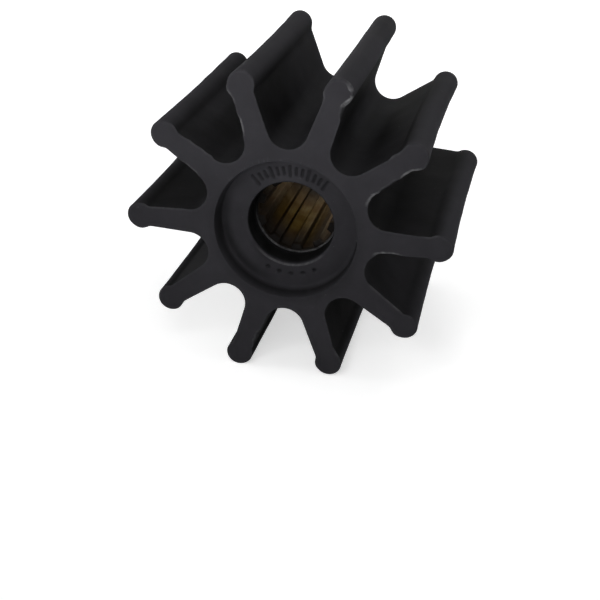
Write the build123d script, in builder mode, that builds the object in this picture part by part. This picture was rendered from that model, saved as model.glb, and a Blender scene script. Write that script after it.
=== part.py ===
from build123d import *

import os
from math import cos, radians, sin, tan

# Flexible impeller of a raw-water pump: a rubber vane wheel moulded round a splined brass insert.
#
# Millimetres. The origin is the middle of the bore, half way between the two end faces. +Y runs
# along the bore from the front face to the back face, and +Z is up. The vanes are evenly spaced
# from +X, and the wheel stands on the tips of its two lowest ones. Both ends are alike, so the
# wheel can be fitted either way round.

# Vane wheel, across and along
WHEEL_DIAMETER = 65.1
WHEEL_WIDTH = 50.8
HUB_DIAMETER = 33.7  # over the bottoms of the pockets between the vanes
VANE_COUNT = 10
END_ROUND = 0.35  # along the edges of both end faces

# One vane: straight flanks that widen towards the hub, and a round bead along the tip
BEAD_DIAMETER = 5.4
VANE_TIP_THICKNESS = 3.9  # between the flanks, level with the middle of the bead
VANE_TAPER = 2.7  # degrees, between each flank and the middle of the vane
NECK_FILLET = 1.5

# The dished face at each end of the hub
HUB_RIM = 2.75  # rubber between the recess and the bottoms of the pockets
RECESS_DEPTH = 4.1
RECESS_DRAFT = 6.0  # degrees
RECESS_FILLET = 1.1

# The pump shaft: straight-sided teeth, one in line with each vane
SHAFT_DIAMETER = 15.875
SHAFT_TEETH = 10
SHAFT_TOOTH_WIDTH = 2.48
SHAFT_TOOTH_HEIGHT = 1.11
SHAFT_CLEARANCE = 0.025  # between the shaft and the spline, on every side of a tooth

# The brass insert, and the round bore in the rubber that leads to it from each end
INSERT_WALL = 2.55  # outside the spline
INSERT_SETBACK = 9.7  # from the wheel's end face to the insert's
SPLINE_CHAMFER = 0.3
BORE_MARGIN = 0.7  # all round, between the spline and the bore
BORE_ROUND = 0.4

vane_pitch = 360 / VANE_COUNT
bead_radius = BEAD_DIAMETER / 2
bead_centre = WHEEL_DIAMETER / 2 - bead_radius

# Half a vane's thickness, carried on along its flanks to the axis of the wheel
vane_half_tip = VANE_TIP_THICKNESS / 2
vane_half_root = vane_half_tip + bead_centre * tan(radians(VANE_TAPER))

# Where the facing flanks of two neighbouring vanes would meet, and the radius of the round pocket
# bottom that touches both flanks and the hub's circle
pocket_half_angle = radians(vane_pitch / 2)
flank_meeting = vane_half_root / (
    sin(pocket_half_angle) + cos(pocket_half_angle) * tan(radians(VANE_TAPER))
)
pocket_spread = 1 / sin(pocket_half_angle + radians(VANE_TAPER))
pocket_radius = (HUB_DIAMETER / 2 - flank_meeting) / (pocket_spread - 1)

# Plane.XZ faces the front, so an offset from it is a distance forward of the middle
front_face = Plane.XZ.offset(WHEEL_WIDTH / 2)
hub_offset = WHEEL_WIDTH / 2 - RECESS_DEPTH
recess_diameter = HUB_DIAMETER - 2 * HUB_RIM

spline_diameter = SHAFT_DIAMETER + 2 * SHAFT_CLEARANCE
spline_minor_diameter = spline_diameter - 2 * SHAFT_TOOTH_HEIGHT
groove_width = SHAFT_TOOTH_WIDTH + 2 * SHAFT_CLEARANCE

bore_diameter = spline_diameter + 2 * BORE_MARGIN
insert_diameter = spline_diameter + 2 * INSERT_WALL
insert_offset = WHEEL_WIDTH / 2 - INSERT_SETBACK


# The rubber, moulded in one piece: the front half is shaped, then mirrored to make the back half
with BuildPart() as vane_wheel:
    with BuildSketch(Plane.XZ) as wheel_section:
        with PolarLocations(0, VANE_COUNT):
            Polygon(
                (0, -vane_half_root),
                (bead_centre, -vane_half_tip),
                (bead_centre, vane_half_tip),
                (0, vane_half_root),
                align=None,
            )
        flank_corners = wheel_section.vertices().group_by(SortBy.DISTANCE)[0]
        fillet(flank_corners, pocket_radius)
        with PolarLocations(bead_centre, VANE_COUNT):
            Circle(bead_radius)
        necks = wheel_section.vertices().group_by(SortBy.DISTANCE)[1]
        fillet(necks, NECK_FILLET)
    extrude(amount=WHEEL_WIDTH / 2)

    # The dished hub face
    with BuildSketch(front_face):
        Circle(recess_diameter / 2)
    extrude(amount=-RECESS_DEPTH, taper=RECESS_DRAFT, mode=Mode.SUBTRACT)
    hub_face = vane_wheel.faces().filter_by(Plane.XZ).sort_by(Axis.Y)[1]
    fillet(hub_face.edges(), RECESS_FILLET)
    end_face = vane_wheel.faces().filter_by(Plane.XZ).sort_by(Axis.Y)[0]
    fillet(end_face.edges(), END_ROUND)

    # The bore, and the seat that the insert fills
    with BuildSketch(Plane.XZ.offset(hub_offset)):
        Circle(bore_diameter / 2)
    extrude(amount=-hub_offset, mode=Mode.SUBTRACT)
    bore_mouth = vane_wheel.edges(Select.LAST).filter_by(GeomType.CIRCLE).sort_by(Axis.Y)[0]
    fillet(bore_mouth, BORE_ROUND)
    with BuildSketch(Plane.XZ):
        Circle(insert_diameter / 2)
    extrude(amount=insert_offset, mode=Mode.SUBTRACT)

    mirror(about=Plane.XZ)
vane_wheel.part.label = "vane_wheel"


# The insert: its outside is bonded to the rubber, and the grooves in its bore take the shaft's teeth
with BuildPart() as spline_insert:
    with BuildSketch(Plane.XZ):
        Circle(insert_diameter / 2)
    extrude(amount=insert_offset)
    with BuildSketch(Plane.XZ):
        with PolarLocations(0, SHAFT_TEETH):
            Rectangle(spline_diameter / 2, groove_width, align=(Align.MIN, Align.CENTER))
        Circle(spline_diameter / 2, mode=Mode.INTERSECT)
        Circle(spline_minor_diameter / 2)
    extrude(amount=insert_offset, mode=Mode.SUBTRACT)
    insert_end = spline_insert.faces().filter_by(Plane.XZ).sort_by(Axis.Y)[0]
    chamfer(insert_end.inner_wires().edges(), SPLINE_CHAMFER)
    mirror(about=Plane.XZ)
spline_insert.part.label = "spline_insert"


os.makedirs("parts", exist_ok=True)
export_step(vane_wheel.part, "parts/vane_wheel.step")
export_step(spline_insert.part, "parts/spline_insert.step")
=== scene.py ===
import math

import bmesh
import bpy
import numpy as np
from mathutils import Matrix, Vector, noise


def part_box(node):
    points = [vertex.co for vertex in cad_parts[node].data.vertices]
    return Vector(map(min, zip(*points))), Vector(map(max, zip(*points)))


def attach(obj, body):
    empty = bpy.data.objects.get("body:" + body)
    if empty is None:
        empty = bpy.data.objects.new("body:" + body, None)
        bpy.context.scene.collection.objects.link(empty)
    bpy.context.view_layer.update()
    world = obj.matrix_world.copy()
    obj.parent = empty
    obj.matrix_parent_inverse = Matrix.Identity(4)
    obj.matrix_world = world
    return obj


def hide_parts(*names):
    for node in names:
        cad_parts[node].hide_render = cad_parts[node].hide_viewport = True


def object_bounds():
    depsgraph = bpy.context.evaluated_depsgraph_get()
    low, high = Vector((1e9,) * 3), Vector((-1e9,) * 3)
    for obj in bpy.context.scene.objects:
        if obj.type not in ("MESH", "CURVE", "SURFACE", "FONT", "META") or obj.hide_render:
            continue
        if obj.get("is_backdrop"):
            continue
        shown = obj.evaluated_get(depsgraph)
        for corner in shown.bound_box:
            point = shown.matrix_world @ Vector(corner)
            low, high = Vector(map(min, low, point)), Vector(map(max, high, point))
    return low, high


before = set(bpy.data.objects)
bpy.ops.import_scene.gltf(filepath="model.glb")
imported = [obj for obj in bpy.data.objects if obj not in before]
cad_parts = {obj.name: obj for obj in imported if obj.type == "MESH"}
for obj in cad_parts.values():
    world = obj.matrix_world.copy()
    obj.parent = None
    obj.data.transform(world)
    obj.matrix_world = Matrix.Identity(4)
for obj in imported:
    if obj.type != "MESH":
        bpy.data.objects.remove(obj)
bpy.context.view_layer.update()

# Lengths are in millimetres in the meshes' code, and MM scales them as each mesh is made. The materials, the
# lamps, the floor and the camera are in metres. The front end faces -Y.
MM = 0.001

# ---------------------------------------------------------------- the wheel's sizes
wheel_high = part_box("vane_wheel")[1]
WHEEL_RADIUS = wheel_high.x / MM
HALF_WIDTH = wheel_high.y / MM
VANES = 10
PITCH = math.tau / VANES
HUB_RADIUS = 16.85
BEAD_RADIUS = 2.7
VANE_TIP_HALF = 1.95
VANE_TAPER = math.radians(2.7)
NECK_FILLET = 1.5
RECESS_RADIUS = 14.35
RECESS_SHIFT = (-0.17, 0.08)  # along X and Z
RECESS_DEPTH = 4.1
RECESS_DRAFT = math.radians(6.0)
RECESS_FILLET = 0.7
BORE_RADIUS = 8.6625
INSERT_SETBACK = HALF_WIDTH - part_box("spline_insert")[1].y / MM
INSERT_HALF = HALF_WIDTH - INSERT_SETBACK
INSERT_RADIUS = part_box("spline_insert")[1].x / MM

# Rounded edges. The mould closed against the front face, so its edges are crisp, with a trimmed flash line.
FRONT_ROUND = 0.16
TIP_ROUND = 0.45
BACK_ROUND = 0.35
RIM_ROUND = 0.15
MOUTH_ROUND = 0.5

# How the soft vanes differ from the drawing, one row for each vane from +X: how far its tip leans
# counter-clockwise at the front end, half way along and at the back end, and then how far out its bead stands
# at the same places. Every bead is waisted half way along, where the rubber shrank towards the insert.
VANE_SET = (
    ((0.00, 0.00, -0.40), (0.15, -0.35, 0.40)),
    ((0.25, 0.25, -0.05), (0.00, -0.40, 0.00)),
    ((-0.25, -0.05, -0.30), (0.15, -0.10, 0.60)),
    ((-0.35, -0.10, 0.10), (0.10, -0.28, 0.25)),
    ((0.15, 0.40, -0.35), (0.10, -0.15, 0.30)),
    ((0.05, 0.20, -0.60), (0.15, -0.25, 0.45)),
    ((0.28, 0.30, -0.65), (0.25, -0.37, 0.25)),
    ((-0.30, 0.05, -0.20), (0.45, -0.30, 0.10)),
    ((0.10, -0.10, 0.30), (0.05, -0.10, 0.35)),
    ((0.15, 0.00, 0.00), (0.15, -0.30, 0.15)),
)

# Mesh density
POCKET_STEPS = 14
FLANK_STEPS = 14
NECK_STEPS = 5
BEAD_STEPS = 10
ACROSS_STEPS = 14
HUB_ROWS = 5
WALL_ROWS = 30


# ---------------------------------------------------------------- small helpers
def smooth(low, high, value):
    """0 below low, 1 above high, and a smooth step between."""
    t = np.clip((np.asarray(value, float) - low) / (high - low), 0.0, 1.0)
    return t * t * (3 - 2 * t)


def arc(centre, radius, start, end, steps, hollow=False):
    """Points of an arc without its first one, and their outward normals; hollow turns the normals in."""
    angles = np.linspace(start, end, steps + 1)[1:]
    normals = np.stack([np.cos(angles), np.sin(angles)], 1)
    points = np.asarray(centre) + radius * normals
    return points, (-normals if hollow else normals)


# ---------------------------------------------------------------- the section through one vane
def vane_side():
    """One side of a vane from the bottom of its pocket to its tip: points and outward normals. The first
    coordinate runs out along the vane, the second across it."""
    bead = np.array([WHEEL_RADIUS - BEAD_RADIUS, 0.0])
    half_root = VANE_TIP_HALF + bead[0] * math.tan(VANE_TAPER)
    flank_normal = np.array([math.sin(VANE_TAPER), math.cos(VANE_TAPER)])
    meeting = half_root / (math.sin(PITCH / 2) + math.cos(PITCH / 2) * math.tan(VANE_TAPER))
    pocket_radius = (HUB_RADIUS - meeting) / (1 / math.sin(PITCH / 2 + VANE_TAPER) - 1)
    pocket_direction = np.array([math.cos(PITCH / 2), math.sin(PITCH / 2)])
    pocket = (HUB_RADIUS + pocket_radius) * pocket_direction

    # The neck's fillet touches the flank and the bead
    reach = BEAD_RADIUS + NECK_FILLET
    offset = half_root + NECK_FILLET / math.cos(VANE_TAPER)
    slope = math.tan(VANE_TAPER)
    a = 1 + slope**2
    b = -2 * (bead[0] + offset * slope)
    c = bead[0] ** 2 + offset**2 - reach**2
    neck_out = (-b - math.sqrt(b * b - 4 * a * c)) / (2 * a)
    neck = np.array([neck_out, offset - neck_out * slope])

    flank_start = pocket - pocket_radius * flank_normal
    flank_end = neck - NECK_FILLET * flank_normal
    down = 1.5 * math.pi - VANE_TAPER
    towards_bead = math.atan2(*(bead - neck)[::-1]) + math.tau
    from_bead = math.atan2(*(neck - bead)[::-1])

    points = [pocket - pocket_radius * pocket_direction]
    normals = [pocket_direction]
    for stretch in (
        arc(pocket, pocket_radius, math.pi + PITCH / 2, down, POCKET_STEPS, hollow=True),
        (
            np.linspace(flank_start, flank_end, FLANK_STEPS + 1)[1:],
            np.tile(flank_normal, (FLANK_STEPS, 1)),
        ),
        arc(neck, NECK_FILLET, down, towards_bead, NECK_STEPS, hollow=True),
        arc(bead, BEAD_RADIUS, from_bead, 0.0, BEAD_STEPS),
    ):
        points.extend(stretch[0])
        normals.extend(stretch[1])
    return np.array(points), np.array(normals)


def turned(vectors, angle):
    """Section vectors of the vane at +X, turned to another vane's angle."""
    c, s = math.cos(angle), math.sin(angle)
    return vectors @ np.array([[c, s], [-s, c]])


side_points, side_normals = vane_side()
SIDE = len(side_points)
PER_VANE = 2 * SIDE - 2
MIRROR = np.array([1.0, -1.0])


def outline():
    """The whole section, counter-clockwise from the pocket before the vane at +X: points, normals, how far
    out along its vane and on which side of it each point lies, and the number of that vane."""
    up = np.arange(SIDE)
    down = np.arange(SIDE - 2, 0, -1)
    one_points = np.concatenate([side_points[up] * MIRROR, side_points[down]])
    one_normals = np.concatenate([side_normals[up] * MIRROR, side_normals[down]])
    along = np.tile(one_points[:, 0], VANES)
    side = np.tile(np.concatenate([-np.ones(SIDE), np.ones(SIDE - 2)]), VANES)
    vane = np.repeat(np.arange(VANES), PER_VANE)
    points = np.concatenate([turned(one_points, k * PITCH) for k in range(VANES)])
    normals = np.concatenate([turned(one_normals, k * PITCH) for k in range(VANES)])
    return points, normals, along, side, vane


# ---------------------------------------------------------------- flash left along the front edges
# Where the flash was torn proud or cut back: vane, side (+1 is counter-clockwise), from and to along the
# vane, how far it stands out (a cut is below zero) and how pale it shows there: paler torn rubber and a
# painted highlight
FRONT_TRIMS = (
    (0, -1, 17.6, 22.6, -0.35, 0.60),
    (0, +1, 26.0, 30.0, 0.20, 0.15),
    (1, -1, 17.0, 20.4, -0.25, 0.75),
    (1, -1, 20.4, 25.4, -0.45, 0.12),
    (1, -1, 25.4, 29.8, -0.40, 0.75),
    (1, +1, 25.6, 28.6, 0.40, 0.15),
    (2, -1, 25.4, 30.0, -0.60, 0.10),
    (2, -1, 27.6, 30.4, 0.00, 1.00),
    (2, -1, 31.2, 32.5, -0.30, 0.80),
    (2, +1, 27.0, 29.6, 0.15, 0.20),
    (3, +1, 20.4, 24.6, -0.30, 0.45),
    (3, +1, 26.6, 30.4, 0.15, 0.45),
    (4, -1, 19.5, 26.0, 0.30, 0.10),
    (4, +1, 20.0, 24.0, -0.25, 0.20),
    (5, -1, 20.0, 30.0, 0.08, 0.15),
    (7, +1, 22.8, 26.8, -0.45, 0.20),
    (8, +1, 26.5, 29.5, 0.35, 0.15),
    (9, +1, 19.0, 28.0, 0.08, 0.20),
)
FLASH_BASE = 0.035
CUT_DEPTH = 0.65


def front_trim(points, along, side, vane):
    """How far the front edge stands out at each point of the outline, and how pale it is there: paler torn
    rubber, and a painted highlight that runs faintly along every front edge.
    """
    height = np.empty(len(points))
    pale_and_painted_light = np.empty(len(points))
    for i, (x, z) in enumerate(points):
        ragged = 0.5 + 0.5 * noise.noise(Vector((x * 1.1, z * 1.1, 3.7)))
        fine = 0.5 + 0.5 * noise.noise(Vector((x * 3.1, z * 3.1, 9.1)))
        height[i] = FLASH_BASE * (0.4 + ragged)
        # A faint painted highlight along every front edge
        pale_and_painted_light[i] = 0.10 * ragged
        for number, which, start, end, tall, tone in FRONT_TRIMS:
            if vane[i] == number and side[i] == which:
                share = float(smooth(-0.3, 0.9, min(along[i] - start, end - along[i])))
                height[i] += tall * share * (0.6 + 0.8 * ragged)
                pale_and_painted_light[i] = max(pale_and_painted_light[i], tone * share * (0.45 + 1.1 * fine))
    return height, np.minimum(pale_and_painted_light, 1.0)


# ---------------------------------------------------------------- mesh building
class Shell:
    """Collects vertices and faces, in millimetres. Each vertex has weights for trimmed flash, with the
    painted highlights that ride on it, and for moulded marks; the bloom, which carries painted light and
    shade, is set for all of them at the end."""

    def __init__(self):
        self.points = []
        self.faces = []
        self.flash = []
        self.mark = []
        self.bloom_and_painted_light = []

    def add(self, points, flash=None, mark=None):
        """Adds vertices and returns their numbers."""
        start = len(self.points)
        count = len(points)
        self.points.extend(map(tuple, points))
        self.flash.extend(np.zeros(count) if flash is None else flash)
        self.mark.extend(np.zeros(count) if mark is None else mark)
        return np.arange(start, start + count)

    def grid(self, rows, closed=False):
        """Quads between neighbouring rows of vertex numbers; closed joins each row's end to its start."""
        for first, second in zip(rows[:-1], rows[1:]):
            a, b = np.asarray(first), np.asarray(second)
            if closed:
                a, b = np.append(a, a[0]), np.append(b, b[0])
            self.faces.extend(zip(a[:-1], a[1:], b[1:], b[:-1]))

    def mesh(self, name):
        """A smooth-shaded Blender mesh with the weights as point attributes."""
        data = bpy.data.meshes.new(name)
        places = [tuple(MM * c for c in p) for p in self.points]
        data.from_pydata(places, [], [tuple(map(int, f)) for f in self.faces])
        for key, values in (("flash", self.flash), ("mark", self.mark), ("bloom_and_painted_light", self.bloom_and_painted_light)):
            weights = data.attributes.new(key, "FLOAT", "POINT")
            weights.data.foreach_set("value", np.array(values, np.float32))
        work = bmesh.new()
        work.from_mesh(data)
        bmesh.ops.recalc_face_normals(work, faces=work.faces)
        work.to_mesh(data)
        work.free()
        data.polygons.foreach_set("use_smooth", [True] * len(data.polygons))
        return data


def ripple(points, size, height, seed):
    """A gentle unevenness of the moulded surface at each point."""
    return np.array([height * noise.noise(Vector(p) / size + Vector((seed, 0, 0))) for p in points])


# The front edge's section: turn round its small radius, depth below that, and share of the flash there
FRONT_EDGE = (
    (0.0, 0.0, 0.55),
    (22.5, 0.0, 0.80),
    (45.0, 0.0, 1.00),
    (67.5, 0.0, 1.00),
    (90.0, 0.0, 0.85),
    (90.0, 0.12, 0.40),
    (90.0, 0.30, 0.12),
)
FRONT_EDGE_END = 0.9
TIP_ROUND_STARTS, TIP_ROUND_WHOLE = 29.5, 31.5  # out along the vane
RIPPLE_SIZE = 5.0
RIPPLE_HEIGHT = 0.07
RIPPLE_SEED = 11.0


def wall_rows(shell, points, normals, along, height, pale_and_painted_light):
    """The walls of the vanes and pockets: rows of vertex numbers from the front edge to the back edge."""
    edge = FRONT_ROUND + (TIP_ROUND - FRONT_ROUND) * smooth(TIP_ROUND_STARTS, TIP_ROUND_WHOLE, along)
    proud, cut = np.maximum(height, 0.0), np.maximum(-height, 0.0)
    rows = []
    for degrees, below, share in FRONT_EDGE:
        turn = math.radians(degrees)
        depth = edge * (1 - math.cos(turn)) + below
        out = proud * share - cut * np.clip(1 - depth / CUT_DEPTH, 0.0, 1.0) - edge * (1 - math.sin(turn))
        place = points + normals * out[:, None]
        place = np.stack([place[:, 0], depth - HALF_WIDTH, place[:, 1]], 1)
        rows.append((place, pale_and_painted_light * np.where(cut > 0, 1.0, share)))
    for depth in np.linspace(FRONT_EDGE_END, 2 * HALF_WIDTH - BACK_ROUND, WALL_ROWS + 1):
        rows.append((np.insert(points, 1, depth - HALF_WIDTH, axis=1), None))
    for turn in np.linspace(0, math.pi / 2, 5)[1:]:
        place = points - normals * BACK_ROUND * (1 - math.cos(turn))
        rows.append((np.insert(place, 1, HALF_WIDTH - BACK_ROUND * (1 - math.sin(turn)), axis=1), None))
    numbers = []
    for place, weight in rows:
        inner = smooth(0.5, 4.0, HALF_WIDTH - np.abs(place[:, 1]))
        push = ripple(place, RIPPLE_SIZE, RIPPLE_HEIGHT, RIPPLE_SEED) * inner
        place = place + np.insert(normals, 1, 0.0, axis=1) * push[:, None]
        numbers.append(shell.add(place, flash=weight))
    return numbers


# Moulded marks on the front hub face: a scale of short bars above the bore and a few pips below it
BAR_ANGLES = np.radians(np.arange(-6, 7) * 6.5 + 91.0)
BAR_MIDDLE = 11.0
BAR_HALF_LENGTHS = (0.95, 0.6, 0.6)
BAR_HALF_WIDTH = 0.22
PIP_ANGLES = np.radians(np.arange(-2, 3) * 13.0 + 272.0)
PIP_RADIUS = 0.36
MARK_DEPTH = 0.40
MARK_EDGE = 0.17


def mark_weight(radius, angle):
    """1 inside a moulded mark, 0 away from it."""
    distance = np.full(np.broadcast(radius, angle).shape, 9.0)
    for number, middle in enumerate(BAR_ANGLES):
        half_length = BAR_HALF_LENGTHS[abs(number - len(BAR_ANGLES) // 2) % len(BAR_HALF_LENGTHS)]
        turn = (angle - middle + math.pi) % math.tau - math.pi
        beyond = np.maximum(np.abs(radius * np.cos(turn) - BAR_MIDDLE) - half_length, 0.0)
        distance = np.minimum(distance, np.hypot(beyond, radius * np.sin(turn)) - BAR_HALF_WIDTH)
    for middle in PIP_ANGLES:
        turn = (angle - middle + math.pi) % math.tau - math.pi
        distance = np.minimum(
            distance, np.hypot(radius * np.cos(turn) - BAR_MIDDLE, radius * np.sin(turn)) - PIP_RADIUS
        )
    return 1 - smooth(0.0, MARK_EDGE, distance)


# The thin lip of rubber that crept over the insert's end face in the mould, and the painted highlights on the
# lip and on the bore's mouth at the bottom
LIP_WIDTH = 0.42
LIP_HEIGHT = 0.22
LIP_FOOT = 0.12
LIP_HIGHLIGHT = 0.45
MOUTH_HIGHLIGHT = 0.30

# How near a row of vertices counts as being at a radius or a depth
AT_PLACE = 0.05
SAME_DEPTH = 1e-6


def hub_profile(face_steps):
    """Radius and depth from the end face, from the recess's rim to the insert's seat."""
    points = []
    for turn in np.linspace(0, math.pi / 2, 5):
        points.append((RECESS_RADIUS + RIM_ROUND * (1 - math.sin(turn)), RIM_ROUND * (1 - math.cos(turn))))
    foot_turn = math.pi / 2 - RECESS_DRAFT
    foot = RECESS_RADIUS - RECESS_DEPTH * math.tan(RECESS_DRAFT)
    reach = RECESS_FILLET * math.tan(foot_turn / 2)
    wall_end = RECESS_DEPTH - reach * math.cos(RECESS_DRAFT)
    for depth in np.linspace(RIM_ROUND, wall_end, 4)[1:]:
        points.append((RECESS_RADIUS - depth * math.tan(RECESS_DRAFT), depth))
    centre = (foot - reach, RECESS_DEPTH - RECESS_FILLET)
    for turn in np.linspace(RECESS_DRAFT, math.pi / 2, 7)[1:]:
        points.append(
            (
                centre[0] + RECESS_FILLET * math.cos(turn),
                centre[1] + RECESS_FILLET * math.sin(turn),
            )
        )
    for radius in np.linspace(centre[0], BORE_RADIUS + MOUTH_ROUND, face_steps + 1)[1:]:
        points.append((radius, RECESS_DEPTH))
    for turn in np.linspace(0, math.pi / 2, 6)[1:]:
        points.append(
            (
                BORE_RADIUS + MOUTH_ROUND * (1 - math.sin(turn)),
                RECESS_DEPTH + MOUTH_ROUND * (1 - math.cos(turn)),
            )
        )
    for depth in np.linspace(RECESS_DEPTH + MOUTH_ROUND, INSERT_SETBACK - LIP_FOOT, 6)[1:]:
        points.append((BORE_RADIUS, depth))
    for turn in np.linspace(0, math.pi, 9)[1:]:
        points.append(
            (
                BORE_RADIUS - LIP_WIDTH * (1 - math.cos(turn)) / 2,
                INSERT_SETBACK - LIP_FOOT - LIP_HEIGHT * math.sin(turn),
            )
        )
    points.append((BORE_RADIUS - LIP_WIDTH, INSERT_SETBACK))
    points.append((INSERT_RADIUS, INSERT_SETBACK))
    return np.array(points)


def hub_rows(shell, angles):
    """The recesses, bores and the insert's seat: rows of vertex numbers from the front rim to the back."""
    numbers = []
    front, back = hub_profile(face_steps=26), hub_profile(face_steps=6)
    stations = [(r, depth - HALF_WIDTH) for r, depth in front]
    stations += [(r, HALF_WIDTH - depth) for r, depth in back[::-1]]
    for radius, y in stations:
        ring = np.stack([radius * np.cos(angles), np.full_like(angles, y), radius * np.sin(angles)], 1)
        weight = np.zeros_like(angles)
        past_mouth = radius > BORE_RADIUS + MOUTH_ROUND + AT_PLACE
        on_face = past_mouth and abs(y + HALF_WIDTH - RECESS_DEPTH) < SAME_DEPTH
        if on_face:
            weight = mark_weight(radius, angles)
            ring[:, 1] += MARK_DEPTH * weight
        lip = INSERT_HALF + LIP_FOOT / 2 < abs(y) < INSERT_HALF + 0.5 and radius < BORE_RADIUS - 0.01
        depth = HALF_WIDTH - RECESS_DEPTH - abs(y)
        near_mouth = radius < BORE_RADIUS + MOUTH_ROUND + AT_PLACE
        mouth = near_mouth and -0.01 < depth < 0.35 * MOUTH_ROUND
        # Painted highlights on the lower side of the lip and of the bore's mouth
        torn_and_highlight = LIP_HIGHLIGHT * lip * smooth(-0.1, 0.7, -np.sin(angles))
        torn_and_highlight = torn_and_highlight + MOUTH_HIGHLIGHT * mouth * smooth(0.55, 0.95, -np.sin(angles))
        numbers.append(shell.add(ring, flash=torn_and_highlight, mark=weight))
    return numbers


def end_face(shell, outer, ring):
    """A flat end: outer is the outline's row of vertices and ring the recess's rim."""
    spokes = []
    middle_columns = np.linspace(0, 1, ACROSS_STEPS + 1)[1:-1]
    for vane in range(VANES):
        start = vane * PER_VANE
        near = start + np.arange(SIDE)
        far = (start + PER_VANE - np.arange(SIDE)) % (VANES * PER_VANE)
        strips = []
        for step in range(POCKET_STEPS, SIDE - 1):
            a, b = np.array(shell.points[outer[near[step]]]), np.array(shell.points[outer[far[step]]])
            inner = shell.add([a + (b - a) * t for t in middle_columns])
            strips.append(np.concatenate([[outer[near[step]]], inner, [outer[far[step]]]]))
        shell.grid(strips)
        tip = outer[near[-1]]
        last = strips[-1]
        shell.faces.extend((a, b, tip) for a, b in zip(last[:-1], last[1:]))
        spokes.extend(outer[near[:POCKET_STEPS]])
        spokes.extend(strips[0])
        spokes.extend(outer[far[1:POCKET_STEPS]][::-1])
    rows = [np.array(spokes)]
    first = np.array([shell.points[i] for i in spokes])
    final = np.array([shell.points[i] for i in ring])
    for share in np.linspace(0, 1, HUB_ROWS + 1)[1:-1]:
        rows.append(shell.add(first + (final - first) * share))
    rows.append(ring)
    shell.grid(rows, closed=True)


def spoke_angles(points):
    """The angle of each radial line that joins the outline, or a vane's root line, to the recess's rim."""
    angles = []
    for vane in range(VANES):
        start = vane * PER_VANE
        near = points[start + np.arange(POCKET_STEPS + 1)]
        far = points[(start + PER_VANE - np.arange(POCKET_STEPS + 1)) % (VANES * PER_VANE)]
        across = np.linspace(near[-1], far[-1], ACROSS_STEPS + 1)[1:-1]
        line = np.concatenate([near, across, far[1:][::-1]])
        angles.append(np.arctan2(line[:, 1], line[:, 0]))
    return np.concatenate(angles)


def shift_recesses(points):
    """Sets the dished faces a little off the bore's axis, as the mould's cores stood."""
    x, y, z = points.T
    radius = np.hypot(x, z)
    share = smooth(BORE_RADIUS + MOUTH_ROUND, RECESS_RADIUS - 2.0, radius)
    share = share * (1.0 - smooth(RECESS_RADIUS + RIM_ROUND, HUB_RADIUS, radius))
    return np.stack([x + RECESS_SHIFT[0] * share, y, z + RECESS_SHIFT[1] * share], 1)


def bend_vanes(points):
    """Waists the beads and gives each vane its own slight set; the hub stays as it is."""
    x, y, z = points.T
    radius = np.hypot(x, z)
    vane = np.round(np.arctan2(z, x) / PITCH).astype(int) % VANES
    share = np.clip((radius - HUB_RADIUS) / (WHEEL_RADIUS - HUB_RADIUS), 0.0, 1.0)
    t = y / HALF_WIDTH
    stations = np.stack([(1 - t) / 2, 1 - t**2, (1 + t) / 2])
    lean, out = np.einsum("nks,sn->kn", np.array(VANE_SET)[vane], stations)
    across, along = lean * share**2, out * share
    c, s = np.cos(vane * PITCH), np.sin(vane * PITCH)
    return np.stack([x + along * c - across * s, y, z + along * s + across * c], 1)


# ---------------------------------------------------------------- how pale the rubber has gone, with painted light and shade
# Tones run from 0, clean black rubber, to 1, the palest grey. The pockets are listed counter-clockwise from
# the one after the vane at +X; their low tones are painted shade, and the floors of the upper ones are
# painted paler by a further tone, as painted light.
FACE_TONE = 0.67
BEAD_TONE = 0.66
POCKET_SHADED_TONES = (0.00, 0.05, 0.09, 0.09, 0.09, 0.09, 0.09, 0.07, 0.04, 0.22)
UPPER_FLOOR_PAINTED_LIGHT = 0.14

# Where tones fade: along Y to the end faces, and out from a pocket's floor and to a bead's tip
FACE_FADE = (HALF_WIDTH - 0.30, HALF_WIDTH - 0.04)
FLOOR_FADE = (17.5, 21.5)
BEAD_FADE = (28.2, WHEEL_RADIUS - 0.7)

# Painted light and shade: patches of the walls painted paler or darker than the rest. For each, the middle's
# angle round the wheel and the spread to each side in degrees, the radii between which it lies, where along Y
# it begins and where it is whole, and its tone
PAINTED_WALL_PATCHES = (
    (59.0, 8.0, 15.0, 20.5, -9.0, 3.0, 0.22),
    (67.0, 3.5, 28.5, 31.6, -24.0, -12.0, 0.22),
    (72.0, 8.0, 29.0, 35.0, 3.0, 20.0, -0.22),
    (41.0, 3.5, 28.5, 31.8, -25.0, -22.0, -0.20),
    (104.0, 9.0, 18.5, 28.0, -10.0, 10.0, 0.26),
    (140.5, 3.5, 24.5, 28.0, -22.0, -6.0, 0.24),
    (-29.0, 5.0, 19.5, 29.0, -22.0, -8.0, 0.14),
)

# Painted shade: how much darker the end face is round the recess's rim, except above the axis, and how far
# out from it
RIM_SHADE = 0.2
RIM_SHADE_WIDTH = 2.2

# How much painted shade darkens parts of the dished face: its wall, and more than that below the middle; the
# line part way up the wall that is all of it at the bottom; the floor beside the wall on the left, and more
# than that below the middle; the right side; and the floor round the bore's mouth
WALL_SHADE = 0.68
LOW_WALL_SHADE = 0.16
BOTTOM_LINE_SHADE = 0.70
SHELTERED_SHADE = 0.50
LOW_SHELTERED_SHADE = 0.20
RIGHT_SHADE = 0.12
MOUTH_SHADE = 0.35

# Painted light: how much paler it is, except at the right, above the middle, near the top, and beside the
# wall up there
UPPER_PAINTED_LIGHT = 0.13
TOP_PAINTED_LIGHT = 0.12
FOOT_PAINTED_LIGHT = 0.35

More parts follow.
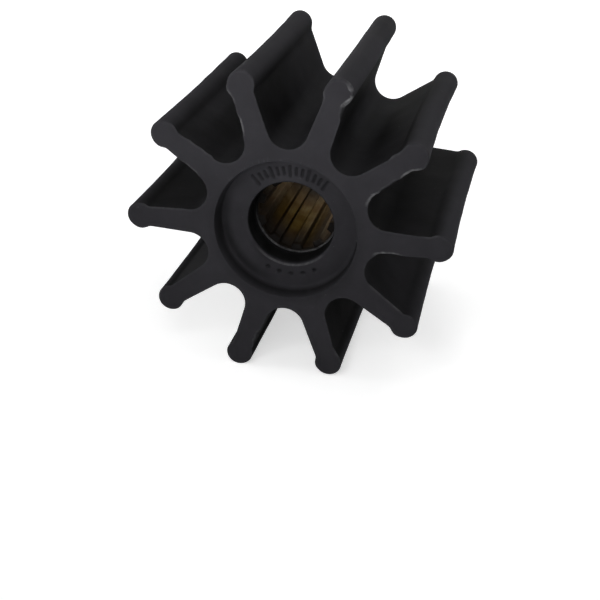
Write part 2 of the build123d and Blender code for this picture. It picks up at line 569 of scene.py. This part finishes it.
# Where these lie: the radius where the wall's foot ends; how high above the floor the line begins, is darkest
# and begins to thin; and the radii between which the floor's painted shade and painted light grow towards the
# wall and the mouth's shade fades away from the bore
WALL_FOOT_RADIUS = RECESS_RADIUS - 1.3
BOTTOM_LINE = (0.8, 1.5, 2.0)
SHELTERED_GROWS = (11.5, 13.4)
FOOT_PAINTED_LIGHT_GROWS = (11.9, 13.4)
MOUTH_SHADE_FADE = (BORE_RADIUS + 0.7, BORE_RADIUS + 1.6)

# How deep below the floor the dish's tone fades away into painted shade: in the moulded marks, in the bore,
# and how much deeper on the bore's lower side, which is painted lit further down
MARK_FADE = 0.8
BORE_FADE = 0.25
LOW_BORE_FADE = 0.55


def in_dish(radius):
    """Whether each radius is inside the recess's rim, as the hub's rows are at every depth."""
    return radius < RECESS_RADIUS + RIM_ROUND


def end_face_tone(y, radius, raised):
    """The tone of both end faces, with painted shade round the recess's rim except above the axis, and 0
    below them.
    """
    # Painted shade round the recess's rim, left off above the axis
    rim_shaded = (1.0 - smooth(RECESS_RADIUS, RECESS_RADIUS + RIM_SHADE_WIDTH, radius)) * (1.0 - raised)
    return FACE_TONE * (1.0 - RIM_SHADE * rim_shaded) * smooth(*FACE_FADE, np.abs(y))


def dish_tone(y, radius, height, raised, leftward):
    """The tone of the dished faces, with painted shade and painted light on them, which fades out down the
    bore as painted shade.
    """
    dish_depth = HALF_WIDTH - RECESS_DEPTH
    under = smooth(0.3, 0.9, -height)
    at_mouth = radius < BORE_RADIUS + MOUTH_ROUND + 0.01
    fade = np.where(at_mouth, BORE_FADE + LOW_BORE_FADE * under, MARK_FADE)
    dish = smooth(dish_depth - fade, dish_depth - 0.3 * fade, np.abs(y)) * in_dish(radius)

    # The wall, darkened by painted shade
    rise = np.abs(y) - dish_depth
    recess_wall = smooth(0.0, 0.5, rise) * (radius > WALL_FOOT_RADIUS)
    begins, darkest, thins = BOTTOM_LINE
    line = smooth(begins, darkest, rise) * (1.0 - 0.8 * smooth(thins, RECESS_DEPTH, rise))
    shade = WALL_SHADE + LOW_WALL_SHADE * smooth(-0.1, 0.15, -height)
    shade = shade + smooth(0.1, 0.6, -height) * (BOTTOM_LINE_SHADE * line - shade)
    dish = dish * FACE_TONE * (1.0 - recess_wall * (1.0 - raised) * shade)

    # The floor: painted shade on the left, at the right and round the bore's mouth, and painted light above
    # the middle
    sheltered = SHELTERED_SHADE + LOW_SHELTERED_SHADE * smooth(-0.1, 0.2, -height)
    sheltered = sheltered * smooth(0.1, 0.9, leftward)
    sheltered = sheltered * (1.0 - smooth(0.15, 0.5, height)) * smooth(*SHELTERED_GROWS, radius)
    right = RIGHT_SHADE * smooth(0.2, 0.9, -leftward)
    dish = dish * (1.0 - sheltered * (1.0 - recess_wall)) * (1.0 - right)
    round_mouth = (1.0 - smooth(*MOUTH_SHADE_FADE, radius)) * smooth(0.2, 0.8, -height)
    dish = dish * (1.0 - MOUTH_SHADE * round_mouth * smooth(0.2, 0.8, leftward))
    dish_painted_light = UPPER_PAINTED_LIGHT * smooth(0.1, 0.5, height) + TOP_PAINTED_LIGHT * smooth(0.6, 0.95, height)
    dish_painted_light = dish_painted_light + FOOT_PAINTED_LIGHT * smooth(*FOOT_PAINTED_LIGHT_GROWS, radius) * smooth(0.5, 0.8, height)
    return dish * (1.0 + dish_painted_light * smooth(-0.5, 0.1, leftward))


def wall_tone(y, radius, height, angle):
    """The tone of the vanes' and pockets' walls, with painted shade deep in the pockets, painted light on
    the upper floors and patches of both, and 0 inside the recess's rim.
    """
    pocket = np.floor(angle / PITCH).astype(int) % VANES
    # Painted shade: each pocket's own low tone, darkest deep in it
    wall = np.array(POCKET_SHADED_TONES)[pocket]
    # Painted light: the floors of the upper pockets are paler
    wall = wall + UPPER_FLOOR_PAINTED_LIGHT * (1.0 - smooth(*FLOOR_FADE, radius)) * smooth(0.4, 0.8, height)
    wall = wall + (BEAD_TONE - wall) * smooth(*BEAD_FADE, radius)
    degrees = np.degrees(angle)
    below_face = np.abs(y) < FACE_FADE[0]
    # Patches of painted light and shade
    for middle, spread, inner, outer, start, whole, tone in PAINTED_WALL_PATCHES:
        beside = 1.0 - smooth(0.2 * spread, spread, np.abs(degrees - middle))
        between = smooth(inner - 1.0, inner + 1.0, radius)
        between = between * (1.0 - smooth(outer - 1.5, outer + 1.5, radius))
        wall = wall + tone * beside * between * smooth(start, whole, y) * below_face
    return np.where(in_dish(radius), 0.0, np.maximum(wall, 0.0))


def bloom_and_painted_light(points):
    """How pale the rubber has gone at each point, with painted light and shade in it: most on the end faces
    and least deep in the pockets, where the dark is painted shade. Height is 1 straight above the axis and -1
    below it. Leftward is 1 at the left of an end as seen from outside."""
    x, y, z = points.T
    radius = np.hypot(x, z)
    height = z / np.maximum(radius, 1.0)
    leftward = x / np.maximum(radius, 1.0) * np.sign(y)
    raised = smooth(0.0, 0.8, height)
    face = end_face_tone(y, radius, raised)
    dish = dish_tone(y, radius, height, raised, leftward)
    wall = wall_tone(y, radius, height, np.arctan2(z, x))
    return np.clip(np.maximum(np.maximum(face, dish), wall), 0.0, 1.0)


def build_wheel():
    """The rubber moulding as one closed mesh."""
    shell = Shell()
    points, normals, along, side, vane = outline()
    walls = wall_rows(shell, points, normals, along, *front_trim(points, along, side, vane))
    shell.grid(walls, closed=True)
    hub = hub_rows(shell, spoke_angles(points))
    shell.grid(hub, closed=True)
    end_face(shell, walls[0], hub[0])
    end_face(shell, walls[-1], hub[-1])
    shell.bloom_and_painted_light = bloom_and_painted_light(np.array(shell.points))
    shell.points = list(map(tuple, bend_vanes(shift_recesses(np.array(shell.points)))))
    wheel = bpy.data.objects.new("rubber_vane_wheel", shell.mesh("rubber_vane_wheel"))
    bpy.context.scene.collection.objects.link(wheel)
    return wheel


wheel = build_wheel()
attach(wheel, "root")
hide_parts("vane_wheel")
FLOOR_Z = min(corner.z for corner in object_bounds())


# ---------------------------------------------------------------- the brass insert
SPLINE_TEETH = 10
SPLINE_RADIUS = 7.9625
SPLINE_MINOR_RADIUS = 6.8525
GROOVE_HALF_WIDTH = 1.265
SPLINE_CHAMFER = 0.3
EDGE_BREAK = 0.12
GROOVE_BOTTOM_STEPS = 8
TOOTH_TOP_STEPS = 10
INSERT_ROWS = 25


def spline_outline(grow):
    """The splined bore's outline, counter-clockwise, with every edge broken; grow opens it up, as the chamfer
    at each end does."""
    minor = SPLINE_MINOR_RADIUS + grow
    major = SPLINE_RADIUS + grow
    half = GROOVE_HALF_WIDTH + grow * 0.5
    minor_turn, major_turn = math.asin(half / minor), math.asin(half / major)
    corner = EDGE_BREAK
    points = []
    tooth_pitch = math.tau / SPLINE_TEETH
    for tooth in range(SPLINE_TEETH):
        middle = tooth * tooth_pitch
        top = np.linspace(minor_turn - tooth_pitch, -minor_turn - corner / minor, TOOTH_TOP_STEPS)
        top[0] += corner / minor
        radii = np.full(len(top), minor)
        bottom = np.linspace(-major_turn + corner / major, major_turn - corner / major, GROOVE_BOTTOM_STEPS)
        walls = np.array([minor + corner, major - corner])
        wall_turns = np.arcsin(half / walls)
        turns = np.concatenate([top, -wall_turns, bottom, wall_turns[::-1]])
        reach = np.concatenate([radii, walls, np.full(len(bottom), major), walls[::-1]])
        points.extend(zip(reach * np.cos(middle + turns), reach * np.sin(middle + turns)))
    return np.array(points)


def build_insert():
    """The brass insert as one closed mesh: splined bore, chamfered ends and a plain outside."""
    shell = Shell()
    stations = [(-INSERT_HALF, SPLINE_CHAMFER), (-INSERT_HALF + SPLINE_CHAMFER, 0.0)]
    stations += [(y, 0.0) for y in np.linspace(-INSERT_HALF + 1.0, INSERT_HALF - 1.0, INSERT_ROWS)]
    stations += [(INSERT_HALF - SPLINE_CHAMFER, 0.0), (INSERT_HALF, SPLINE_CHAMFER)]
    bore = []
    for y, grow in stations:
        ring = np.insert(spline_outline(grow), 1, y, axis=1)
        bore.append(shell.add(ring))
    shell.grid(bore, closed=True)
    flat = spline_outline(SPLINE_CHAMFER)
    turns = np.arctan2(flat[:, 1], flat[:, 0])
    outside = []
    for y in (-INSERT_HALF, INSERT_HALF):
        across, up = INSERT_RADIUS * np.cos(turns), INSERT_RADIUS * np.sin(turns)
        outside.append(shell.add(np.stack([across, np.full_like(turns, y), up], 1)))
    shell.grid([bore[0], outside[0], outside[1], bore[-1]], closed=True)
    shell.bloom_and_painted_light = np.zeros(len(shell.points))
    insert = bpy.data.objects.new("brass_spline_insert", shell.mesh("brass_spline_insert"))
    bpy.context.scene.collection.objects.link(insert)
    return insert


insert = build_insert()
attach(insert, "root")
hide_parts("spline_insert")


# ---------------------------------------------------------------- materials
class Nodes:
    """A short way to write a material's node tree."""

    def __init__(self, name):
        self.material = bpy.data.materials.new(name)
        self.material.use_nodes = True
        self.tree = self.material.node_tree
        self.tree.nodes.clear()
        self.place = self.make("ShaderNodeTexCoord").outputs["Object"]

    def make(self, kind, inputs=(), **settings):
        """A node with its settings, and each input linked to a socket or set to a value."""
        node = self.tree.nodes.new(kind)
        for key, value in settings.items():
            setattr(node, key, value)
        for key, value in dict(inputs).items():
            if isinstance(value, bpy.types.NodeSocket):
                self.tree.links.new(value, node.inputs[key])
            else:
                node.inputs[key].default_value = value
        return node

    def noise(self, size, detail=3.0, roughness=0.55, place=None):
        """Noise whose features are about size metres across, from 0 to 1."""
        inputs = {"Vector": place or self.place, "Scale": 1 / size}
        inputs.update({"Detail": detail, "Roughness": roughness})
        return self.make("ShaderNodeTexNoise", inputs).outputs["Fac"]

    def math(self, operation, a, b=0.0):
        """One arithmetic operation."""
        return self.make("ShaderNodeMath", {0: a, 1: b}, operation=operation).outputs[0]

    def remap(self, value, low, high, to_low, to_high):
        """Maps the range from low to high onto the one from to_low to to_high, and clamps it there."""
        inputs = {"Value": value, "From Min": low, "From Max": high, "To Min": to_low, "To Max": to_high}
        return self.make("ShaderNodeMapRange", inputs).outputs["Result"]

    def mix(self, share, first, second):
        """The first colour where share is 0 and the second where it is 1."""
        node = self.make("ShaderNodeMix", data_type="RGBA")
        for socket, value in ((node.inputs[0], share), (node.inputs[6], first), (node.inputs[7], second)):
            if isinstance(value, bpy.types.NodeSocket):
                self.tree.links.new(value, socket)
            else:
                socket.default_value = value
        return node.outputs[2]

    def toward(self, angle):
        """How far in metres the surface lies from the bore's axis, measured towards an angle round it."""
        inputs = {0: self.place, 1: (math.cos(angle), 0.0, math.sin(angle))}
        return self.make("ShaderNodeVectorMath", inputs, operation="DOT_PRODUCT").outputs["Value"]

    def bump(self, height, distance, strength=1.0, normal=None):
        """A normal bumped by height, on top of another one if that is given."""
        inputs = {"Height": height, "Distance": distance, "Strength": strength}
        if normal is not None:
            inputs["Normal"] = normal
        return self.make("ShaderNodeBump", inputs).outputs["Normal"]

    def finish(self, shader):
        """Connects the shader to the output and returns the material."""
        self.make("ShaderNodeOutputMaterial", {"Surface": shader})
        return self.material


CLEAN_RUBBER = (0.0075, 0.0075, 0.0078, 1)
PALE_RUBBER = (0.0420, 0.0409, 0.0462, 1)
DUSTY_RUBBER = (0.07, 0.07, 0.075, 1)
# Paler torn rubber at the trimmed flash, which also carries the painted highlights on the edges
TORN_AND_HIGHLIGHT_RUBBER = (0.17, 0.17, 0.175, 1)
# The colour that the moulded marks are painted towards, and by how much, as shade in them
MARK_SHADE_RUBBER = (0.0105, 0.0105, 0.0112, 1)
MARK_SHADE_SHARE = 0.45

# Both materials reflect very little besides their own colour
SPECULAR_LEVEL = 0.003


def rubber_material():
    """Black nitrile rubber as it comes from the mould: satin, faintly blotched, a little dusty, with paler
    edges where the flash was trimmed. Painted highlights ride on those edges, the lip and the bore's mouth,
    and painted light and shade come with the bloom: darker deep in the pockets and the dish, paler where
    light falls."""
    n = Nodes("charcoal_rubber")
    blotch = n.noise(0.006, 4.0, 0.6)
    cloud = n.noise(0.021, 2.0, 0.5)
    grain = n.noise(0.00032, 3.0, 0.6)
    speck = n.noise(0.0011, 2.0, 0.6)
    trimmed_and_highlight = n.make("ShaderNodeAttribute", attribute_name="flash").outputs["Fac"]

    # The bloom attribute: real paleness together with painted light and shade, such as the shade deep in the
    # pockets
    pale_and_painted_light = n.make("ShaderNodeAttribute", attribute_name="bloom_and_painted_light").outputs["Fac"]
    pale_and_painted_light = n.math("ADD", pale_and_painted_light, n.remap(cloud, 0.3, 0.7, -0.07, 0.07))
    pale_and_painted_light = n.math("ADD", pale_and_painted_light, n.remap(blotch, 0.3, 0.7, -0.07, 0.07))
    colour = n.mix(pale_and_painted_light, CLEAN_RUBBER, PALE_RUBBER)
    dust = n.remap(speck, 0.72, 0.80, 0.0, 0.35)
    colour = n.mix(dust, colour, DUSTY_RUBBER)
    # Paler torn rubber where flash was trimmed, with the painted highlights on the edges, the lip and the
    # bore's mouth
    torn_and_highlight = n.math("MULTIPLY", trimmed_and_highlight, n.remap(speck, 0.35, 0.65, 0.35, 1.0))
    colour = n.mix(torn_and_highlight, colour, TORN_AND_HIGHLIGHT_RUBBER)
    # Painted shade in the recessed moulded marks
    mark_shaded = n.make("ShaderNodeAttribute", attribute_name="mark").outputs["Fac"]
    colour = n.mix(n.math("MULTIPLY", mark_shaded, MARK_SHADE_SHARE), colour, MARK_SHADE_RUBBER)

    rough = n.remap(blotch, 0.3, 0.7, 0.60, 0.70)
    skin = n.bump(grain, 0.00004, 0.5)
    skin = n.bump(speck, 0.00005, 0.4, skin)
    shader = n.make(
        "ShaderNodeBsdfPrincipled",
        {"Base Color": colour, "Roughness": rough, "Normal": skin, "Specular IOR Level": SPECULAR_LEVEL},
    )
    return n.finish(shader.outputs["BSDF"])


# Painted light and shade on the front half of the brass: the angle round the bore where it is darkest, how
# light the brass is there and well away from it, and where along Y the painting ends
SHADED_BRASS_ANGLE = math.radians(245.0)
BRASS_LIGHT_LEVELS = (0.45, 1.90)
BRASS_LIGHT_END = 12.0

# Painted shade down the bore from each end, as a dark sheet that is not metal: how far it reaches, and how
# much is left of it at one angle
BORE_SHADE_LENGTH = 11.0
LEAST_SHADE_ANGLE = math.radians(297.0)
BORE_SHADE_LEFT = 0.45

# The film of rubber over the end faces, painted dark also as their shade, ends this far down the bore
FILM_AND_SHADE_DEPTH = 0.5

YELLOW_BRASS = (0.057, 0.050, 0.037, 1)
RED_BRASS = (0.068, 0.045, 0.032, 1)
SCORED_BRASS = (0.034, 0.023, 0.014, 1)
BORE_SHADED_BRASS = (0.017, 0.012, 0.008, 1)
FILMED_AND_SHADED_BRASS = (0.0100, 0.0090, 0.0085, 1)
BRASS_TINT = (0.49, 0.46, 0.42, 1)


def brass_material():
    """Broached brass gone dull and brown and scored lengthways, with painted light and shade: darker along
    one side of the front half and brighter away from it, painted shade down the bore from each end, and a
    film of rubber from the moulding over its end faces, painted dark also as their shade."""
    n = Nodes("dull_brass")
    parts = n.make("ShaderNodeSeparateXYZ", {"Vector": n.place})
    lengthways = {"Vector": n.place, "Scale": (1.0, 0.04, 1.0)}
    stretched = n.make("ShaderNodeMapping", lengthways).outputs["Vector"]
    broach = n.noise(0.00028, 3.0, 0.6, stretched)
    stain = n.noise(0.0028, 4.0, 0.6)
    colour = n.mix(n.remap(stain, 0.35, 0.7, 0.0, 1.0), YELLOW_BRASS, RED_BRASS)
    colour = n.mix(n.remap(broach, 0.42, 0.66, 0.0, 0.4), colour, SCORED_BRASS)

    end = n.math("ABSOLUTE", parts.outputs["Y"])
    film_and_shade_starts = MM * (INSERT_HALF - FILM_AND_SHADE_DEPTH)
    # Painted shade down the bore from each end, as a dark sheet that is not metal
    bore_shade = n.remap(end, MM * (INSERT_HALF - BORE_SHADE_LENGTH), film_and_shade_starts, 0.0, 1.0)
    near, far = 0.75 * MM * SPLINE_RADIUS, 0.95 * MM * SPLINE_RADIUS
    bore_shade = n.math("MULTIPLY", bore_shade, n.remap(n.toward(LEAST_SHADE_ANGLE), near, far, 1.0, BORE_SHADE_LEFT))
    colour = n.mix(bore_shade, colour, BORE_SHADED_BRASS)

    # Painted light and shade round the front half of the bore
    most, least = BRASS_LIGHT_LEVELS
    near, far = 0.3 * MM * SPLINE_RADIUS, MM * SPLINE_MINOR_RADIUS
    level = n.remap(n.toward(SHADED_BRASS_ANGLE), near, far, least, most)
    level = n.remap(parts.outputs["Y"], 0.0, MM * BRASS_LIGHT_END, level, 1.0)
    scaled = n.make("ShaderNodeVectorMath", {0: colour, "Scale": level}, operation="SCALE")
    # The rubber film over the end faces, painted dark also as their shade
    film_and_shade = n.remap(end, film_and_shade_starts, MM * INSERT_HALF, 0.0, 1.0)
    colour = n.mix(film_and_shade, scaled.outputs["Vector"], FILMED_AND_SHADED_BRASS)
    rough = n.remap(stain, 0.3, 0.7, 0.42, 0.60)
    skin = n.bump(broach, 0.00005, 0.6)
    shader = n.make(
        "ShaderNodeBsdfPrincipled",
        {
            "Base Color": colour,
            "Roughness": rough,
            "Normal": skin,
            "Metallic": n.math("SUBTRACT", 1.0, bore_shade),
            "Specular IOR Level": SPECULAR_LEVEL,
            "Specular Tint": BRASS_TINT,
        },
    )
    return n.finish(shader.outputs["BSDF"])


# How white the paper glows to the camera near the wheel and far away, and between which distances in metres
GLOW_NEAR, GLOW_FAR = 0.55, 1.0
GLOW_STARTS, GLOW_WHOLE = 0.12, 0.50


def floor_material():
    """White paper: it shows white to the camera, with the wheel's soft shadow, and fades to plain white."""
    n = Nodes("white_floor")
    path = n.make("ShaderNodeLightPath").outputs
    reflected = n.math("MAXIMUM", path["Is Glossy Ray"], path["Is Transmission Ray"])
    seen = n.math("MAXIMUM", path["Is Camera Ray"], reflected)
    away = n.make("ShaderNodeVectorMath", {0: n.place}, operation="LENGTH").outputs["Value"]
    white = n.remap(away, GLOW_STARTS, GLOW_WHOLE, GLOW_NEAR, GLOW_FAR)
    fibre = n.remap(n.noise(0.004, 3.0), 0.3, 0.7, 0.86, 0.88)
    colour = n.make("ShaderNodeCombineColor", {0: fibre, 1: fibre, 2: fibre}).outputs[0]
    paper = n.make("ShaderNodeBsdfDiffuse", {"Color": colour}).outputs[0]
    glow = n.make("ShaderNodeEmission", {"Strength": n.math("MULTIPLY", seen, white)}).outputs[0]
    return n.finish(n.make("ShaderNodeAddShader", {0: paper, 1: glow}).outputs[0])


wheel.data.materials.append(rubber_material())
insert.data.materials.append(brass_material())


# ---------------------------------------------------------------- stage, light and camera
def build_floor():
    """A round sheet of paper that lies flat under the wheel and sweeps up to a wall far from it all round."""
    middle, flat, sweep, top, turns = 0.3, 1.2, 0.5, 2.2, 96
    profile = [(middle, 0.0), (flat, 0.0)]
    for turn in np.linspace(0, math.pi / 2, 13)[1:]:
        profile.append((flat + sweep * math.sin(turn), sweep * (1 - math.cos(turn))))
    profile.append((flat + sweep, top))
    angles = np.linspace(0, math.tau, turns, endpoint=False)
    points = [(r * math.cos(a), r * math.sin(a), FLOOR_Z + z) for r, z in profile for a in angles]
    rings = np.arange(len(points)).reshape(len(profile), turns)
    faces = [tuple(int(i) for i in rings[0])]
    for low, high in zip(rings[:-1], rings[1:]):
        for i in range(turns):
            j = (i + 1) % turns
            faces.append((int(low[i]), int(high[i]), int(high[j]), int(low[j])))
    data = bpy.data.meshes.new("paper_floor")
    data.from_pydata(points, [], faces)
    data.polygons.foreach_set("use_smooth", [True] * len(data.polygons))
    data.materials.append(floor_material())
    floor = bpy.data.objects.new("paper_floor", data)
    bpy.context.scene.collection.objects.link(floor)
    floor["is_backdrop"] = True


WORLD_STRENGTH = 0.20

# Name, place and the point it faces in metres, width in metres and power in watts
LAMPS = (
    ("face_softbox", (-0.015, -0.080, 0.045), (-0.015, 0.0, 0.045), 0.03, 0.0225),
    ("key_softbox", (0.005, -0.115, 0.040), (0.005, 0.0, 0.040), 0.03, 0.0315),
    ("top_softbox", (0.055, 0.095, 0.191), (0.0, 0.0, 0.0), 0.12, 0.10),
    ("left_softbox", (-0.788, 0.0, 0.139), (0.0, 0.0, 0.0), 0.50, 3.5),
    ("right_softbox", (0.788, 0.0, 0.139), (0.0, 0.0, 0.0), 0.50, 1.6),
    ("back_softbox", (0.0, 0.788, 0.139), (0.0, 0.0, 0.0), 0.50, 3.2),
)


def add_lamp(name, place, target, width, watts):
    """A soft square lamp that the camera doesn't see."""
    lamp = bpy.data.lights.new(name, "AREA")
    lamp.shape = "SQUARE"
    lamp.size = width
    lamp.energy = watts
    rig = bpy.data.objects.new(name, lamp)
    rig.location = place
    rig.rotation_euler = (Vector(place) - Vector(target)).to_track_quat("Z", "Y").to_euler()
    rig.visible_camera = False
    bpy.context.scene.collection.objects.link(rig)


def light_world(strength):
    """Even white light from all round."""
    world = bpy.data.worlds.new("soft_room")
    world.use_nodes = True
    back = world.node_tree.nodes["Background"]
    back.inputs["Color"].default_value = (1, 1, 1, 1)
    back.inputs["Strength"].default_value = strength
    bpy.context.scene.world = world


CAMERA_PLACE = Vector((0.044403, -0.211218, 0.085712))
CAMERA_FORWARD = Vector((-0.19165, 0.86384, -0.46588)).normalized()
CAMERA_RIGHT = Vector((0.97369, 0.22697, 0.02031)).normalized()
CAMERA_LENS = 64.433
SENSOR = 36.0


def add_camera():
    """The camera, with the place, turn and lens that a fit to the photo gave."""
    up = CAMERA_RIGHT.cross(CAMERA_FORWARD).normalized()
    camera = bpy.data.cameras.new("photo_camera")
    camera.sensor_width = SENSOR
    camera.lens = CAMERA_LENS
    camera.clip_start = 0.01
    rig = bpy.data.objects.new("photo_camera", camera)
    axes = Matrix((CAMERA_RIGHT, up, -CAMERA_FORWARD)).transposed()
    rig.matrix_world = Matrix.Translation(CAMERA_PLACE) @ axes.to_4x4()
    bpy.context.scene.collection.objects.link(rig)
    bpy.context.scene.camera = rig


build_floor()
for lamp in LAMPS:
    add_lamp(*lamp)
light_world(WORLD_STRENGTH)
add_camera()
bpy.context.scene.view_settings.view_transform = "Standard"
